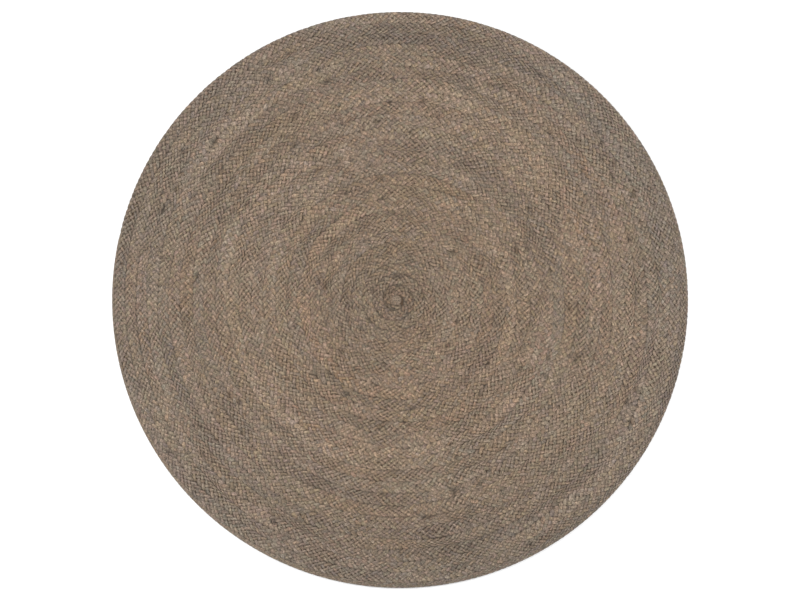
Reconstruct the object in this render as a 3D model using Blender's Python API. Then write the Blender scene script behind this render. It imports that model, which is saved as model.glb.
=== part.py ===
"""A round floor rug: one jute braid coiled flat from the middle and sewn edge to edge.

Metres, +Z up. The rug lies on z = 0 with its centre on the Z axis. Seen from above, the
braid winds outwards clockwise. Its turns stand up as low ribs with a seam between each
two, and the last turn narrows to the braid's end, so that the rim is a true circle.
"""

import math

import bmesh
import bpy

# Driving dimensions
RUG_DIAMETER = 1.2
BRAID_WIDTH = 0.0236
BRAID_THICKNESS = 0.0095
SEAM_DEPTH = 0.0032        # how far the seam lies below the crown of a full-width turn
START_WIDTH_SHARE = 0.5    # width of the braid at the very middle, against its full width
END_WIDTH_SHARE = 0.2      # width of the braid where it ends at the rim
START_ANGLE = math.radians(65.0)
STEPS_PER_TURN = 84

# Rounded rim, as shares of the braid's width and of its thickness
RIM_TUCK_TOP = 0.13
RIM_TUCK_BOTTOM = 0.10
RIM_TOP_HEIGHT = 0.74
RIM_MIDDLE_HEIGHT = 0.42

JUTE_COLOUR = (0.255, 0.192, 0.140, 1.0)
JUTE_ROUGHNESS = 0.9

# Worked out from them
RUG_RADIUS = RUG_DIAMETER / 2
RIM_TOP_RADIUS = RUG_RADIUS - RIM_TUCK_TOP * BRAID_WIDTH
SEAM_HEIGHT = BRAID_THICKNESS - SEAM_DEPTH
RIM_START_STEP = round(
    (RIM_TOP_RADIUS / BRAID_WIDTH - END_WIDTH_SHARE - START_WIDTH_SHARE) * STEPS_PER_TURN
)
LAST_STEP = RIM_START_STEP + STEPS_PER_TURN


def remove_objects():
    for obj in list(bpy.data.objects):
        bpy.data.objects.remove(obj, do_unlink=True)


def polar_point(radius, step, height):
    """A point at a step of the winding, which runs clockwise seen from above."""
    angle = START_ANGLE - math.tau * step / STEPS_PER_TURN
    return (radius * math.cos(angle), radius * math.sin(angle), height)


def outer_edge(step):
    """Radius of the braid's outer edge: a spiral, then the rim for the last turn."""
    if step > RIM_START_STEP:
        return RIM_TOP_RADIUS
    return BRAID_WIDTH * (step / STEPS_PER_TURN + START_WIDTH_SHARE)


def inner_edge(step):
    """Radius of the braid's inner edge, which is the turn before it."""
    if step < STEPS_PER_TURN:
        return 0.0
    return outer_edge(step - STEPS_PER_TURN)


def crown_height(step):
    """Top of the rib: lower where the braid is narrower."""
    width_share = (outer_edge(step) - inner_edge(step)) / BRAID_WIDTH
    return SEAM_HEIGHT + SEAM_DEPTH * min(1.0, math.sqrt(width_share))


def add_coil(mesh):
    """The ribbed top: a strip for each step, from seam to crown to seam."""
    centre = mesh.verts.new((0.0, 0.0, SEAM_HEIGHT))
    seams = []
    crowns = []
    for step in range(LAST_STEP + 1):
        on_rim = step > RIM_START_STEP
        seam_height = RIM_TOP_HEIGHT * BRAID_THICKNESS if on_rim else SEAM_HEIGHT
        seams.append(mesh.verts.new(polar_point(outer_edge(step), step, seam_height)))
        crown_radius = (inner_edge(step) + outer_edge(step)) / 2
        crowns.append(mesh.verts.new(polar_point(crown_radius, step, crown_height(step))))

    for step in range(LAST_STEP):
        following = step + 1
        mesh.faces.new((crowns[step], crowns[following], seams[following], seams[step]))
        before = step - STEPS_PER_TURN
        if following < STEPS_PER_TURN:
            mesh.faces.new((centre, crowns[following], crowns[step]))
        elif before < 0:
            mesh.faces.new((centre, crowns[following], crowns[step]))
            mesh.faces.new((centre, seams[0], crowns[following]))
            mesh.faces.new((centre, crowns[0], seams[0]))
        else:
            mesh.faces.new((seams[before], seams[before + 1], crowns[following], crowns[step]))

    # the braid's end, closed against the turn inside it
    first_rim = seams[RIM_START_STEP + 1]
    mesh.faces.new((seams[RIM_START_STEP], first_rim, crowns[LAST_STEP]))
    mesh.faces.new((crowns[LAST_STEP], first_rim, seams[LAST_STEP]))
    crease(mesh, seams[:RIM_START_STEP + 1])
    return seams[RIM_START_STEP + 1:]


def crease(mesh, points):
    """Marks the edges along a run of points sharp, in a body that is shaded round."""
    for first, second in zip(points, points[1:]):
        mesh.edges.get((first, second)).smooth = False


def add_ring(mesh, radius, height):
    return [
        mesh.verts.new(polar_point(radius, RIM_START_STEP + 1 + step, height))
        for step in range(STEPS_PER_TURN)
    ]


def join_rings(mesh, upper, lower):
    for step in range(STEPS_PER_TURN):
        following = (step + 1) % STEPS_PER_TURN
        mesh.faces.new((upper[step], upper[following], lower[following], lower[step]))


def build_rug_mesh():
    mesh = bmesh.new()
    rim_top = add_coil(mesh)
    rim_middle = add_ring(mesh, RUG_RADIUS, RIM_MIDDLE_HEIGHT * BRAID_THICKNESS)
    rim_bottom = add_ring(mesh, RUG_RADIUS - RIM_TUCK_BOTTOM * BRAID_WIDTH, 0.0)
    join_rings(mesh, rim_top, rim_middle)
    join_rings(mesh, rim_middle, rim_bottom)
    mesh.faces.new(rim_bottom)
    crease(mesh, rim_bottom + rim_bottom[:1])
    bmesh.ops.recalc_face_normals(mesh, faces=mesh.faces)
    data = bpy.data.meshes.new("braided_rug")
    mesh.to_mesh(data)
    mesh.free()
    return data


def jute_material():
    material = bpy.data.materials.new("jute_braid")
    material.use_nodes = True
    shader = material.node_tree.nodes["Principled BSDF"]
    shader.inputs["Base Color"].default_value = JUTE_COLOUR
    shader.inputs["Roughness"].default_value = JUTE_ROUGHNESS
    shader.inputs["Metallic"].default_value = 0.0
    return material


def add_rug():
    data = build_rug_mesh()
    data.materials.append(jute_material())
    data.polygons.foreach_set("use_smooth", [True] * len(data.polygons))
    rug = bpy.data.objects.new("braided_rug", data)
    bpy.context.scene.collection.objects.link(rug)
    return rug


def main():
    remove_objects()
    add_rug()


main()
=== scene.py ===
"""Looks of the round jute rug: one five-strand braid, coiled flat, built strand by strand."""

import math

import bpy
import numpy as np
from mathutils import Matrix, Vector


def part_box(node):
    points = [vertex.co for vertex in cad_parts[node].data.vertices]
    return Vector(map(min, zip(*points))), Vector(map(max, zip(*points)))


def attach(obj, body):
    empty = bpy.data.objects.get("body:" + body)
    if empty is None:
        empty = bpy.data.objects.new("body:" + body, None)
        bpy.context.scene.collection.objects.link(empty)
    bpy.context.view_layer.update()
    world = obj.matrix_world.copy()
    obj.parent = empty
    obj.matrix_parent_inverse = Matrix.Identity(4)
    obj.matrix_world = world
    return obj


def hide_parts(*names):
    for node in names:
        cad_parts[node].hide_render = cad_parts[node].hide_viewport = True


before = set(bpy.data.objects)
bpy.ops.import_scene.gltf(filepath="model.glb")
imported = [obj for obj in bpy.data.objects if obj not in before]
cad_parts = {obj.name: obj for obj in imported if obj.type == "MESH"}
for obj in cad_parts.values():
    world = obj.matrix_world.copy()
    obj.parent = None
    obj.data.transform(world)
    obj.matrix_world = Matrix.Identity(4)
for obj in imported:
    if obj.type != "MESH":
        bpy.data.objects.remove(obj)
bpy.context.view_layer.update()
CAD_NODE = "braided_rug"

# ---- sizes in metres, the main ones from the frame ----
NODE_LOW, NODE_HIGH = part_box(CAD_NODE)
RUG_RADIUS = (NODE_HIGH[0] - NODE_LOW[0]) / 2
THICKNESS = NODE_HIGH[2] - NODE_LOW[2]
BRAID_WIDTH = 0.0236
START_WIDTH_SHARE = 0.5
END_WIDTH_SHARE = 0.2
START_ANGLE = math.radians(65.0)
FIRST_TURN = 0.30           # the strands come out of the start knot here

STRANDS = 5
STRAND_PERIOD = 0.0615      # length of braid in which a strand crosses over and comes back
RINGS_PER_PERIOD = 20
RING_CROWDING = 0.10        # rings lie closer where a strand dives and where it turns back
SIDES = 6                   # as many as the angles in section()
STRAND_HALF_WIDTH = 0.0034  # where it crosses the braid's middle
EDGE_HALF_WIDTH = 0.0034    # where it turns back at the edge, spread against its neighbour
STRAND_HALF_HEIGHT = 0.0024
PINCH = 0.14                # how much narrower it is between two crossings
CLASH_SPREAD = 0.0016       # and how much wider at the edge where it meets another lobe
SECTION_POWER = 3.5         # 2 is an oval section, more is squarer
STRAND_GIRTH = 0.022        # round the strand, for its map
SWAY = 0.0100               # how far a strand swings from the braid's middle
SNAP = 0.97                 # how straight it runs from edge to edge, and how sharply it turns back
# under, -1, and over, 1, at each tenth of the period
WEAVE = np.array([0, 1, -1, 1, -1, 0, 1, -1, 1, -1, 0.0])
RISE = 0.0019               # a strand's height over the middle of the thickness
CLASH_REACH = 0.0006        # how far a lobe reaches past the seam where it meets another's tip,
MESH_REACH = 0.0026         # and where it falls between two lobes of the next turn
LOCK = 0.90                 # how strongly the turns keep their lobes between each other's
SLIP = 0.22                 # how unevenly the crossings are spaced, in crossings
EDGE_ROLL = math.radians(8.0)
PIECES = 6

KNOT_RADIUS = 0.0115
KNOT_HALF_HEIGHT = 0.0042
CORE_LOW = 0.0036
CORE_HIGH = 0.0060
CORE_INSET = 0.006          # how far the core stays inside the rim

STRAY = 0.0016              # how far a row strays from its place, and in how many waves
STRAY_WAVES = 10
RIM_SOFTNESS = 0.004        # over how much of its reach the rim is drawn in to a circle
WARP = 0.055                # how unevenly the turns are packed from the middle to the rim
CORE_DRIFT = (-0.0083, 0.0) # how far the first turns, and those further out, lie off centre
MIDDLE_DRIFT = (-0.0017, -0.0027)

SEED = 7


# ---- seeded noise along a line ----
def wander(places, spacing, seed):
    """Smooth random values, about -1 to 1, at places along a line."""
    at = np.asarray(places, float) / spacing
    low = int(np.floor(at.min())) - 1
    knots = np.random.default_rng(seed).uniform(-1, 1, int(np.ceil(at.max())) - low + 3)
    index = np.floor(at).astype(int)
    part = at - index
    part = part * part * (3 - 2 * part)
    index -= low
    return knots[index] * (1 - part) + knots[index + 1] * part


def ease(value, start, end):
    """0 before start, 1 after end, smooth between."""
    part = np.clip((value - start) / (end - start), 0, 1)
    return part * part * (3 - 2 * part)


# ---- the coil ----
FULL_TURNS = RUG_RADIUS / BRAID_WIDTH - START_WIDTH_SHARE
RIM_START = FULL_TURNS - END_WIDTH_SHARE
LAST_TURN = RIM_START + 1


def coil_table():
    """Turn, length of braid up to it, centre-line radius and width, at fine steps."""
    turn = np.linspace(0.0, LAST_TURN, 20001)
    outer = BRAID_WIDTH * (turn + START_WIDTH_SHARE)
    # the last full turn widens where the tapered end of the next one leaves it bare
    outer = outer + BRAID_WIDTH * END_WIDTH_SHARE * ease(turn, RIM_START - 0.03, RIM_START + 0.01)
    outer = np.minimum(outer, RUG_RADIUS)
    inner = np.maximum(BRAID_WIDTH * (turn + START_WIDTH_SHARE - 1), 0.0)
    radius = (inner + outer) / 2
    step = np.diff(turn) * math.tau * (radius[1:] + radius[:-1]) / 2
    length = np.concatenate([[0.0], np.cumsum(step)])
    return turn, length, radius, outer - inner


TURN, LENGTH, RADIUS, WIDTH = coil_table()


def crossing_table():
    """Crossings counted along the braid, and how well each turn's lobes fit the next one's."""
    even = LENGTH * STRANDS / STRAND_PERIOD + SLIP * wander(LENGTH, 0.09, SEED + 50)
    count = even.copy()
    for turn in range(1, math.ceil(LAST_TURN)):
        here = (TURN >= turn) & (TURN < turn + 1)
        off = even[here] - np.interp(TURN[here] - 1, TURN, count)
        lock = LOCK * np.minimum(TURN[here] / 4, 1)
        count[here] = even[here] - lock * np.sin(math.tau * off) / math.tau
    after = np.interp(TURN + 1, TURN, count)
    mesh = np.where(TURN + 1 < LAST_TURN, 0.5 + 0.5 * np.cos(math.tau * (after - count)), 0.5)
    return count, mesh


CROSSING, MESHING = crossing_table()


def row_wander(radius, angle):
    """How far the rows stray in or out, smoothly, where the hands pulled them tighter or looser."""
    random = np.random.default_rng(SEED + 90)
    shift = np.zeros_like(radius)
    for _ in range(STRAY_WAVES):
        rows = random.uniform(4.0, 13.0)
        around = random.integers(-12, 13)
        start = random.uniform(0, math.tau)
        shift += np.sin(math.tau * rows * radius / RUG_RADIUS + around * angle + start)
    return STRAY * shift / math.sqrt(STRAY_WAVES / 2)


def settle(points):
    """Moves nominal places on the coil to where the hand-sewn coil lets them lie."""
    radius = np.hypot(points[:, 0], points[:, 1])
    share = np.minimum(radius / RUG_RADIUS, 1.0)
    warp = -WARP * RUG_RADIUS / math.tau * (
        np.sin(math.tau * (share - 0.05)) + math.sin(math.tau * 0.05)
    ) * np.clip(share / 0.08, 0, 1) * np.clip((1 - share) / 0.08, 0, 1)
    stray = row_wander(radius, np.arctan2(points[:, 1], points[:, 0]))
    stray *= ease(share, 0.05, 0.30) * (1 - ease(share, 0.90, 1.0))
    settled = points.copy()
    settled[:, :2] *= (1 + (warp + stray) / np.maximum(radius, 1e-6))[:, None]
    middle = ease(share, 0.08, 0.38)
    rim = ease(share, 0.55, 0.97)
    for axis in range(2):
        settled[:, axis] += CORE_DRIFT[axis] * (1 - middle) + MIDDLE_DRIFT[axis] * middle * (1 - rim)
    # the rim is drawn in to one even circle
    reach = np.hypot(settled[:, 0], settled[:, 1])
    limit = RUG_RADIUS - RIM_SOFTNESS
    over = np.maximum(reach - limit, 0.0)
    drawn_in = limit + RIM_SOFTNESS * (1 - np.exp(-over / RIM_SOFTNESS))
    pulled = np.where(reach > limit, drawn_in, reach)
    settled[:, :2] *= (pulled / np.maximum(reach, 1e-6))[:, None]
    return settled


def weave(phase):
    """How a strand rides, from -1, under the others, to 1, over them."""
    tenth = np.remainder(phase / math.tau + 0.25, 1.0) * 10
    whole = np.floor(tenth).astype(int) % 10
    part = ease(tenth - np.floor(tenth), 0, 1)
    return WEAVE[whole] * (1 - part) + WEAVE[whole + 1] * part


def strand_rings(strand, ring):
    """The cross-sections of a strand: centre, side and up vectors, half sizes, and where they are."""
    even = ring / RINGS_PER_PERIOD + strand / STRANDS
    crowded = even - RING_CROWDING * np.sin(4 * math.tau * even) / (4 * math.tau)
    turn = np.interp(crowded * STRANDS - strand, CROSSING, TURN)
    length = np.interp(turn, TURN, LENGTH)
    seed = SEED + 100 * strand
    slip = 0.07 * wander(length, 0.05, seed + 3) + 0.10 * wander(length, 0.016, seed + 4)
    phase = math.tau * crowded + slip
    radius = np.interp(length, LENGTH, RADIUS)
    share = np.interp(length, LENGTH, WIDTH) / BRAID_WIDTH
    sway = SWAY * share * (1 + 0.07 * wander(length, 0.016, seed + 1))
    sine = np.sin(phase)
    swing = np.arcsin(SNAP * sine) / math.asin(SNAP)
    at_edge = sine ** 2
    tight = 1 + 0.15 * wander(length, 0.06, SEED + 51)
    over = weave(phase)
    height = RISE * over
    spare = RISE * (1.0 + 0.10 * np.abs(wander(length, 0.013, seed + 2))) - np.abs(height)
    half_height = STRAND_HALF_HEIGHT + spare * at_edge ** 4
    angle = START_ANGLE - math.tau * turn
    out = np.stack([np.cos(angle), np.sin(angle), np.zeros_like(angle)], 1)
    centre = out * (radius + sway * swing)[:, None]
    centre[:, 2] = THICKNESS / 2 + height
    along = np.gradient(centre, axis=0)
    bend = np.gradient(np.unwrap(np.arctan2(along[:, 1], along[:, 0])))
    bend /= np.hypot(along[:, 0], along[:, 1])
    along /= np.linalg.norm(along, axis=1)[:, None]
    side = np.cross(along, np.array([0.0, 0.0, 1.0]))
    side /= np.linalg.norm(side, axis=1)[:, None]
    lift = np.cross(side, along)
    roll = EDGE_ROLL * np.cos(phase) * 2 * at_edge
    turned_side = side * np.cos(roll)[:, None] + lift * np.sin(roll)[:, None]
    turned_lift = lift * np.cos(roll)[:, None] - side * np.sin(roll)[:, None]
    fit = np.where(swing > 0, np.interp(turn, TURN, MESHING), np.interp(turn - 1, TURN, MESHING))
    edge_width = EDGE_HALF_WIDTH + CLASH_SPREAD * (1 - fit)
    half_width = STRAND_HALF_WIDTH * tight + (edge_width - STRAND_HALF_WIDTH) * at_edge ** 0.8
    half_width = half_width * (1 - PINCH * (1 - np.abs(over)) * (1 - at_edge))
    half_width = half_width * np.minimum(1, 0.35 + 0.65 * share)
    half_width = half_width * (1 + 0.08 * wander(length, 0.012, seed + 5))
    # no fold on the inside of a bend, and little past the seam on its outside
    tightest = 0.8 / np.maximum(np.abs(bend), 1.0)
    inner = np.minimum(half_width, tightest)
    across = np.abs(np.sum(side * out, axis=1))
    reach = CLASH_REACH + (MESH_REACH - CLASH_REACH) * fit
    room = (BRAID_WIDTH / 2 + reach) * share - np.abs(sway * swing)
    outer = np.minimum(half_width, room / np.maximum(across, 0.3))
    left = np.where(bend > 0, inner, outer)
    right = np.where(bend < 0, inner, outer)
    return centre, turned_side, turned_lift, left, right, half_height, length, turn, phase


# ---- colour along the strands, in steps of one level of an 8-bit picture ----
BASE_COLOUR = (0.2015, 0.1478, 0.1043)
TONE_STEP = 0.0180          # natural log of brightness per level
WARM_STEPS = (0.0081, 0.0, -0.0103)
GREEN_STEPS = (-0.006, 0.012, -0.006)

FLECKS = 175                # bits of bark and shive strewn at random
FLECK_REACH = 0.0055
PIT_PLACES = (0.0, 0.40, 0.80)      # where a strand dives and the painted shade lies, from the braid's middle, 0, to its edge, 1
PIT_REACH = 0.10
CROWN_HIGHLIGHT = 11            # painted highlight: how much lighter the tops of the crossings are
SHADE_DARK = 230             # painted shade: how much darker and warmer the hollows and the strands' flanks are
# how much warmer the painted shade is
SHADE_WARM = 14


def lot_colour(share):
    """Lightness and warmth of the yarn from the middle, 0, to the rim, 1."""
    middle = np.exp(-((share / 0.10) ** 2))
    golden = np.exp(-(((share - 0.33) / 0.12) ** 2))
    pale = np.exp(-(((share - 0.58) / 0.14) ** 2))
    rim = ease(share, 0.70, 1.0)
    return 3 * pale - 12 * middle - rim, 1 + 3 * middle + 4 * golden - 6 * rim


def random_flecks():
    """Place, reach along and across the turn, in metres, lightness and warmth of each fleck."""
    flecks = []
    random = np.random.default_rng(SEED + 70)
    for _ in range(FLECKS):
        reach = RUG_RADIUS * math.sqrt(random.uniform(0.002, 0.96))
        angle = random.uniform(0, math.tau)
        place = (reach * math.cos(angle), reach * math.sin(angle))
        along = FLECK_REACH * random.uniform(0.6, 1.5)
        across = FLECK_REACH * random.uniform(0.4, 0.7)
        lightness = random.uniform(-75, -30)
        warmth = random.uniform(0, 16)
        flecks.append((*place, along, across, lightness, warmth))
    return flecks


ALL_FLECKS = random_flecks()


def strand_colours(strand, length, turn, phase, points, high):
    """Linear colour for each point of a strand's rings."""
    seed = SEED + 1000 + 10 * strand
    lot_turn = turn + 0.9 * wander(length, 0.5, seed)
    tone, warm = lot_colour(lot_turn / LAST_TURN)
    # lots of yarn change along the braid and from strand to strand, and no two crossings match
    tone = tone + 4.5 * wander(length, 0.70, SEED + 60) + 3.0 * wander(length, 0.25, SEED + 62)
    tone = tone + 4.0 * wander(length, 0.11, seed + 1)
    tone = tone + 4.0 * wander(length, 0.030, seed + 2) + 8.0 * wander(length, 0.007, seed + 3)
    warm = warm + 2.5 * wander(length, 0.50, SEED + 61) + 4.5 * wander(length, 0.12, seed + 4)
    warm = warm + 5.0 * wander(length, 0.025, seed + 5) + 1.5 * wander(length, 0.008, seed + 6)
    green = 1.6 * wander(length, 0.2, seed + 7) + 1.0 * wander(length, 0.02, seed + 8)
    green = green + 2.6 * wander(length, 0.007, seed + 11)
    # painted shade along the seams between rows, stronger in some places, the first turns most
    seam = 9 * (0.6 + 0.8 * wander(length, 0.35, SEED + 63))
    seam = seam + 30 * np.exp(-((turn / 2.2) ** 2))
    # painted highlight on the tops of the crossings, and painted shade, dark and warm, where a strand
    # dives and down its flanks
    swing = np.abs(np.arcsin(SNAP * np.sin(phase))) / math.asin(SNAP)
    flank = 1 - ease(np.abs(high), 0.2, 1.0)
    pit = sum(np.exp(-(((swing - place) / PIT_REACH) ** 2)) for place in PIT_PLACES)
    pit *= 0.55 + 0.65 * wander(length, 0.009, seed + 9) + 0.3 * wander(length, 0.2, seed + 10)
    painted_shade = (0.15 + 0.85 * np.maximum(pit, 0))[:, None] * flank
    tone = tone - seam * ease(swing, 0.80, 1.0)
    # painted highlight on the tops where a strand rides over the others, painted shade where it
    # passes under
    crown = np.maximum(weave(phase), 0) ** 2 - 0.4
    tone = tone[:, None] + CROWN_HIGHLIGHT * crown[:, None] * (1 - flank) - SHADE_DARK * painted_shade
    warm = warm[:, None] + SHADE_WARM * painted_shade
    green = np.broadcast_to(green[:, None], tone.shape)
    tone, warm, green = tone.ravel(), warm.ravel(), green.ravel()
    radius = np.hypot(points[:, 0], points[:, 1])
    angle = np.arctan2(points[:, 1], points[:, 0])
    for x, y, along, across, lightness, warmth in ALL_FLECKS:
        fleck_radius = math.hypot(x, y)
        close = np.flatnonzero(np.abs(radius - fleck_radius) < 2.5 * across)
        away = np.remainder(angle[close] - math.atan2(y, x) + math.pi, math.tau) - math.pi
        near = np.exp(
            -((away * fleck_radius / along) ** 2) - ((radius[close] - fleck_radius) / across) ** 2
        )
        tone[close] += lightness * near
        warm[close] += warmth * near
    colour = np.ones((len(tone), 4), np.float32)
    for band in range(3):
        shift = TONE_STEP * tone + WARM_STEPS[band] * warm + GREEN_STEPS[band] * green
        colour[:, band] = np.minimum(BASE_COLOUR[band] * np.exp(shift), 0.9)
    return colour


# ---- meshes from arrays ----
def mesh_object(name, points, faces, colours=None, strand_uv=None, bake_uv=None):
    """A smooth mesh from points and a list of face arrays, one array for each number of corners."""
    mesh = bpy.data.meshes.new(name)
    corners = np.concatenate([block.ravel() for block in faces])
    sizes = np.concatenate([np.full(len(block), block.shape[1]) for block in faces])
    mesh.vertices.add(len(points))
    mesh.vertices.foreach_set("co", points.astype(np.float32).ravel())
    mesh.loops.add(len(corners))
    mesh.loops.foreach_set("vertex_index", corners.astype(np.int32))
    mesh.polygons.add(len(sizes))
    starts = np.concatenate([[0], np.cumsum(sizes)[:-1]])
    mesh.polygons.foreach_set("loop_start", starts.astype(np.int32))
    mesh.polygons.foreach_set("use_smooth", np.ones(len(sizes), bool))
    mesh.update(calc_edges=True)
    for map_name, places in (("strand", strand_uv), ("OFBake", bake_uv)):
        if places is not None:
            layer = mesh.uv_layers.new(name=map_name)
            layer.uv.foreach_set("vector", places.astype(np.float32).ravel())
    if colours is not None:
        # the yarn's tone together with painted shade and painted highlights
        attribute = mesh.color_attributes.new("tone_and_painted_light", "FLOAT_COLOR", "POINT")
        attribute.data.foreach_set("color", colours.astype(np.float32).ravel())
    thing = bpy.data.objects.new(name, mesh)
    bpy.context.scene.collection.objects.link(thing)
    return thing


def section():
    """Points round a slightly square oval, as shares of its half sizes, most of them on top."""
    angle = np.radians([-20.0, 20.0, 52.0, 128.0, 160.0, 200.0])
    across, high = np.cos(angle), np.sin(angle)
    size = np.abs(across) ** SECTION_POWER + np.abs(high) ** SECTION_POWER
    size = size ** (-1 / SECTION_POWER)
    return across * size, high * size


def strand_tube(strand, first, last):
    """Points, quads, end caps, colours and map places of a strand from one ring to another."""
    centre, side, lift, left, right, half_height, length, turn, phase = [
        values[1:-1] for values in strand_rings(strand, np.arange(first - 1, last + 2))
    ]
    across, high = section()
    wide = np.where(across > 0, right[:, None], left[:, None]) * across
    points = (
        centre[:, None, :]
        + side[:, None, :] * wide[:, :, None]
        + lift[:, None, :] * (half_height[:, None] * high)[:, :, None]
    )
    points = settle(points.reshape(-1, 3))
    count = last - first + 1
    base = np.arange(count - 1)[:, None] * SIDES
    here = base + np.arange(SIDES)
    after = base + (np.arange(SIDES) + 1) % SIDES
    quads = np.stack([here, here + SIDES, after + SIDES, after], 2).reshape(-1, 4)
    caps = np.stack([np.arange(SIDES), (count - 1) * SIDES + np.arange(SIDES)[::-1]])
    colours = strand_colours(strand, length, turn, phase, points, high)
    along = length[:-1, None] + np.zeros(SIDES)
    along_next = length[1:, None] + np.zeros(SIDES)
    around = np.arange(SIDES) / SIDES * STRAND_GIRTH + strand + np.zeros((count - 1, 1))
    around_next = around + STRAND_GIRTH / SIDES
    quad_uv = np.stack(
        [np.stack([along, along_next, along_next, along], 2),
         np.stack([around, around, around_next, around_next], 2)], 3
    ).reshape(-1, 2)
    cap_uv = np.stack([np.tile(across, 2), np.tile(high, 2)], 1) * STRAND_GIRTH / 6
    return points, quads, caps, colours, quad_uv, cap_uv


def bake_map(strips, caps):
    """Map places for baking: each ring strip a narrow column of its own, row above row."""
    rows = max(1, round(math.sqrt(strips / SIDES)))
    columns = math.ceil((strips + caps) / rows)
    margin = 0.04
    strip = np.arange(strips)
    column, row = strip % columns, strip // columns
    step = np.arange(SIDES + 1) / SIDES * (1 - 2 * margin) + margin
    low = (row[:, None] + step[:-1]) / rows
    high = (row[:, None] + step[1:]) / rows
    left = np.broadcast_to((column / columns)[:, None], low.shape)
    right = np.broadcast_to(((column + 1) / columns)[:, None], low.shape)
    quads = np.stack(
        [np.stack([left, right, right, left], 2), np.stack([low, low, high, high], 2)], 3
    ).reshape(-1, 2)
    cap = strips + np.arange(caps)
    turn = math.tau * np.arange(SIDES) / SIDES
    cap_u = ((cap % columns)[:, None] + 0.5 + 0.4 * np.cos(turn)) / columns
    cap_v = ((cap // columns)[:, None] + 0.5 + 0.4 * np.sin(turn)) / rows
    return np.concatenate([quads, np.stack([cap_u, cap_v], 2).reshape(-1, 2)])


def braid_piece(number, first, last):
    """All the strands of the braid from one ring to another, as one object."""
    parts = [strand_tube(strand, first, last) for strand in range(STRANDS)]
    size = len(parts[0][0])
    points = np.concatenate([part[0] for part in parts])
    quads = np.concatenate([part[1] + size * n for n, part in enumerate(parts)])
    caps = np.concatenate([part[2] + size * n for n, part in enumerate(parts)])
    colours = np.concatenate([part[3] for part in parts])
    strand_uv = np.concatenate([part[4] for part in parts] + [part[5] for part in parts])
    bake_uv = bake_map((last - first) * STRANDS, len(caps))
    return mesh_object(f"jute_braid_{number}", points, [quads, caps], colours, strand_uv, bake_uv)


def start_knot():
    """The braid's first end, bound off and tucked down in the middle of the coil."""
    around, steps = 48, 14
    centre = settle(np.zeros((1, 3)))[0]
    angle = math.tau * np.arange(around) / around
    rise = np.linspace(-0.5 * math.pi, 0.5 * math.pi, steps + 2)[1:-1]
    reach = KNOT_RADIUS * (1 + 0.05 * np.sin(3 * angle + 1.0) + 0.03 * np.sin(5 * angle))
    rings = []
    for tilt in rise:
        flat = math.cos(tilt) ** 0.6
        dimple = 0.0007 * np.sin(2 * angle + 4 * flat) * flat
        round_high = KNOT_HALF_HEIGHT * np.sign(tilt) * abs(math.sin(tilt)) ** 0.8
        high = THICKNESS / 2 + round_high + dimple
        rings.append(np.stack([
            centre[0] + reach * flat * np.cos(angle),
            centre[1] + reach * flat * np.sin(angle),
            high,
        ], 1))
    points = np.concatenate(rings)
    low_pole = [centre[0], centre[1], THICKNESS / 2 - KNOT_HALF_HEIGHT]
    high_pole = [centre[0], centre[1], THICKNESS / 2 + KNOT_HALF_HEIGHT]
    points = np.concatenate([points, [low_pole], [high_pole]])
    here = np.arange(around)
    after = (here + 1) % around
    quads = np.concatenate([
        np.stack([here, after, after + around, here + around], 1) + around * n
        for n in range(steps - 1)
    ])
    last = around * (steps - 1)
    low_fan = np.stack([after, here, np.full(around, len(points) - 2)], 1)
    high_fan = np.stack([here + last, after + last, np.full(around, len(points) - 1)], 1)
    bearing = np.arctan2(points[:, 1] - centre[1], points[:, 0] - centre[0])
    shift = TONE_STEP * (-9 + 5 * np.sin(7 * bearing))
    colours = np.ones((len(points), 4))
    colours[:, :3] = np.array(BASE_COLOUR) * np.exp(shift)[:, None]
    corners = np.concatenate([quads.ravel(), low_fan.ravel(), high_fan.ravel()])
    flat_map = (points[:, :2] - centre[:2])[corners] + 0.5
    return mesh_object("braid_start", points, [quads, low_fan, high_fan], colours, flat_map)


def core_object():
    """The packed fibres inside the braid, seen only down the gaps between strands."""
    sides = 180
    radius = RUG_RADIUS - CORE_INSET
    angle = math.tau * np.arange(sides) / sides
    ring = np.stack([radius * np.cos(angle), radius * np.sin(angle)], 1)
    points = np.concatenate([
        np.column_stack([ring, np.full(sides, CORE_HIGH)]),
        np.column_stack([ring, np.full(sides, CORE_LOW)]),
    ])
    here = np.arange(sides)
    after = (here + 1) % sides
    quads = np.stack([here, here + sides, after + sides, after], 1)
    caps = np.stack([here, sides + here[::-1]])
    return mesh_object("rug_core", points, [quads, caps])


# ---- materials ----
def new_material(name, colour, roughness):
    """A plain material, its node tree and its shader."""
    material = bpy.data.materials.new(name)
    material.use_nodes = True
    shader = material.node_tree.nodes["Principled BSDF"]
    shader.inputs["Base Color"].default_value = (*colour, 1)
    shader.inputs["Roughness"].default_value = roughness
    return material, material.node_tree, shader


def node(tree, kind, inputs=None, **settings):
    """A node with its settings and inputs; an input is a value or another node's socket."""
    made = tree.nodes.new(kind)
    for key, value in settings.items():
        setattr(made, key, value)
    for key, value in (inputs or {}).items():
        if isinstance(value, bpy.types.NodeSocket):
            tree.links.new(value, made.inputs[key])
        else:
            made.inputs[key].default_value = value
    return made


def maths(tree, operation, first, second=0.0):
    """The result of one Math node."""
    return node(tree, "ShaderNodeMath", {0: first, 1: second}, operation=operation).outputs[0]


def stretched(tree, u, v, u_scale, v_scale, shift):
    """Coordinates with their own scale along and around the strand."""
    return node(tree, "ShaderNodeCombineXYZ", {
        0: maths(tree, "MULTIPLY", u, u_scale), 1: maths(tree, "MULTIPLY", v, v_scale), 2: shift,
    }).outputs[0]


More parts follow.
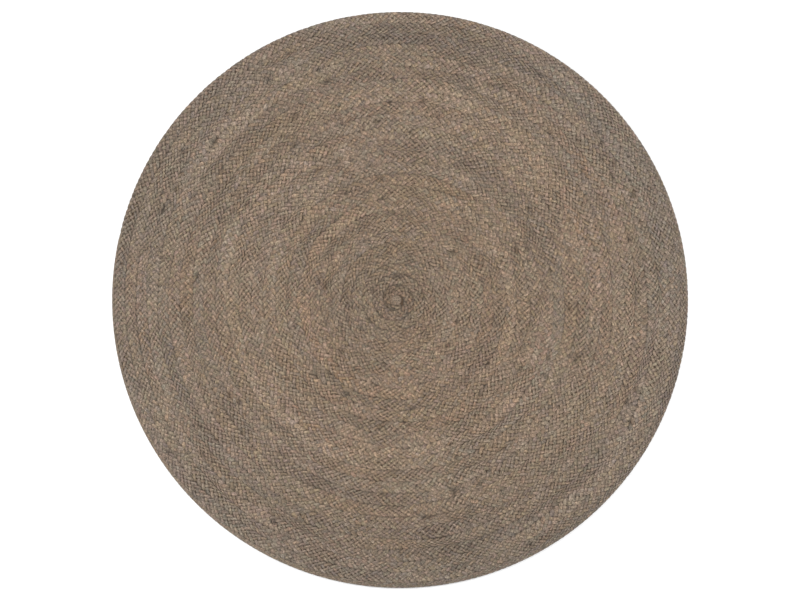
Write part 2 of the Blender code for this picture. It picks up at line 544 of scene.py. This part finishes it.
def noise(tree, vector, detail, roughness=0.5):
    """Noise at coordinates that already carry their scale."""
    return node(tree, "ShaderNodeTexNoise", {
        "Vector": vector, "Scale": 1.0, "Detail": detail, "Roughness": roughness,
    }).outputs["Fac"]


def spread(tree, value, low, high, to_low, to_high):
    """A value moved from one range to another, held at its ends."""
    return node(tree, "ShaderNodeMapRange", {
        "Value": value, "From Min": low, "From Max": high, "To Min": to_low, "To Max": to_high,
    }).outputs[0]


def jute_material():
    """Raw jute: streaks and hair-fine fibres along the strand, tufts, shive, over a vertex colour
    that holds the yarn's tone with painted shade in the hollows and painted highlights on the
    crossings.
    """
    material, tree, shader = new_material("jute", BASE_COLOUR, 0.9)
    tone_and_painted_light = node(tree, "ShaderNodeAttribute", attribute_name="tone_and_painted_light").outputs["Color"]
    uv = node(tree, "ShaderNodeUVMap", uv_map="strand").outputs[0]
    split = node(tree, "ShaderNodeSeparateXYZ", {0: uv})
    u, v = split.outputs[0], split.outputs[1]
    bundles = noise(tree, stretched(tree, u, v, 70, 330, 0.0), 2.0)
    fibres = noise(tree, stretched(tree, u, v, 190, 2400, 5.0), 2.0)
    tufts = noise(tree, stretched(tree, u, v, 420, 520, 9.0), 2.0, 0.6)
    knots = noise(tree, stretched(tree, u, v, 260, 700, 17.0), 1.0)
    light = spread(tree, bundles, 0.25, 0.75, -0.45, 0.30)
    light = maths(tree, "ADD", light, spread(tree, fibres, 0.25, 0.75, -0.24, 0.24))
    light = maths(tree, "ADD", light, spread(tree, tufts, 0.25, 0.75, -0.75, 0.70))
    light = maths(tree, "ADD", light, 1.0)
    toned = node(tree, "ShaderNodeVectorMath", {
        0: tone_and_painted_light, "Scale": light,
    }, operation="SCALE").outputs[0]
    # bits of bark and shive, and a few bleached fibres
    bark = spread(tree, knots, 0.70, 0.76, 0.0, 0.75)
    barked = node(tree, "ShaderNodeMix", {
        "Factor": bark, 6: toned, 7: (0.045, 0.026, 0.014, 1.0),
    }, data_type="RGBA").outputs[2]
    pale = spread(tree, fibres, 0.66, 0.80, 0.0, 0.45)
    finished = node(tree, "ShaderNodeMix", {
        "Factor": pale, 6: barked, 7: (0.50, 0.42, 0.32, 1.0),
    }, data_type="RGBA").outputs[2]
    tree.links.new(finished, shader.inputs["Base Color"])
    tree.links.new(spread(tree, fibres, 0.3, 0.7, 0.95, 0.74), shader.inputs["Roughness"])
    relief = maths(tree, "ADD", bundles, maths(tree, "MULTIPLY", fibres, 0.45))
    relief = maths(tree, "ADD", relief, maths(tree, "MULTIPLY", tufts, 0.8))
    bump = node(tree, "ShaderNodeBump", {"Strength": 0.9, "Distance": 0.0011, "Height": relief})
    tree.links.new(bump.outputs[0], shader.inputs["Normal"])
    return material


def core_shade_material():
    """Matted fibres inside the braid, painted dark for the shade down the gaps between strands."""
    material, tree, shader = new_material("core_painted_shade", (0.05, 0.032, 0.02), 0.95)
    place = node(tree, "ShaderNodeTexCoord").outputs["Object"]
    matted = node(tree, "ShaderNodeTexNoise", {
        "Vector": place, "Scale": 900.0, "Detail": 2.0,
    }).outputs["Fac"]
    colour = node(tree, "ShaderNodeMix", {
        "Factor": spread(tree, matted, 0.3, 0.7, 0.0, 1.0),
        6: (0.035, 0.020, 0.010, 1.0), 7: (0.110, 0.070, 0.042, 1.0),
    }, data_type="RGBA").outputs[2]
    tree.links.new(colour, shader.inputs["Base Color"])
    bump = node(tree, "ShaderNodeBump", {"Strength": 0.8, "Distance": 0.001, "Height": matted})
    tree.links.new(bump.outputs[0], shader.inputs["Normal"])
    return material


def place_piece(piece, material):
    """Gives a piece its material and puts it in place of the CAD rug."""
    piece.data.materials.append(material)
    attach(piece, "root")
    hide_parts(CAD_NODE)


jute = jute_material()
first_ring = int(np.interp(FIRST_TURN, TURN, CROSSING) / STRANDS * RINGS_PER_PERIOD) + 1
last_ring = int(CROSSING[-1] / STRANDS * RINGS_PER_PERIOD) - 8
breaks = np.linspace(first_ring, last_ring, PIECES + 1).astype(int)
for number in range(PIECES):
    braid = braid_piece(number + 1, breaks[number], breaks[number + 1])
    place_piece(braid, jute)
knot = start_knot()
place_piece(knot, jute)
# the core's near-black colour is painted shade
core = core_object()
place_piece(core, core_shade_material())


# ---- stage, light and camera ----
def add_stage():
    """A plain pale floor."""
    bpy.ops.mesh.primitive_plane_add(size=12.0)
    floor = bpy.context.object
    floor.name = "floor"
    floor.data.materials.append(new_material("floor", (0.94, 0.94, 0.94), 0.9)[0])


def add_softbox(name, place, size, power):
    """A square soft light aimed at the rug's middle."""
    light = bpy.data.lights.new(name, "AREA")
    light.energy = power
    light.size = size
    box = bpy.data.objects.new(name, light)
    box.location = place
    reach = math.hypot(place[0], place[1])
    box.rotation_euler = (0, math.atan2(reach, place[2]), math.atan2(place[1], place[0]))
    bpy.context.scene.collection.objects.link(box)


add_stage()

world = bpy.data.worlds.new("studio")
bpy.context.scene.world = world
world.use_nodes = True
world.node_tree.nodes["Background"].inputs[0].default_value = (1, 1, 1, 1)
world.node_tree.nodes["Background"].inputs[1].default_value = 0.74
add_softbox("left_softbox", (-1.9, 0.3, 2.0), 1.4, 56)
add_softbox("right_softbox", (1.9, 0.2, 2.0), 1.4, 44)

PHOTO_RADIUS = 288.4        # the rug's radius in the photograph, in its pixels
IMAGE_WIDTH = 800
camera_data = bpy.data.cameras.new("camera")
camera_data.lens = 85.0
camera_data.sensor_width = 36.0
camera = bpy.data.objects.new("camera", camera_data)
distance = RUG_RADIUS * camera_data.lens / camera_data.sensor_width * IMAGE_WIDTH / PHOTO_RADIUS
camera.location = (0, 0, distance + THICKNESS / 2)
bpy.context.scene.collection.objects.link(camera)
bpy.context.scene.camera = camera
bpy.context.scene.view_settings.view_transform = "Standard"

bpy.context.view_layer.update()
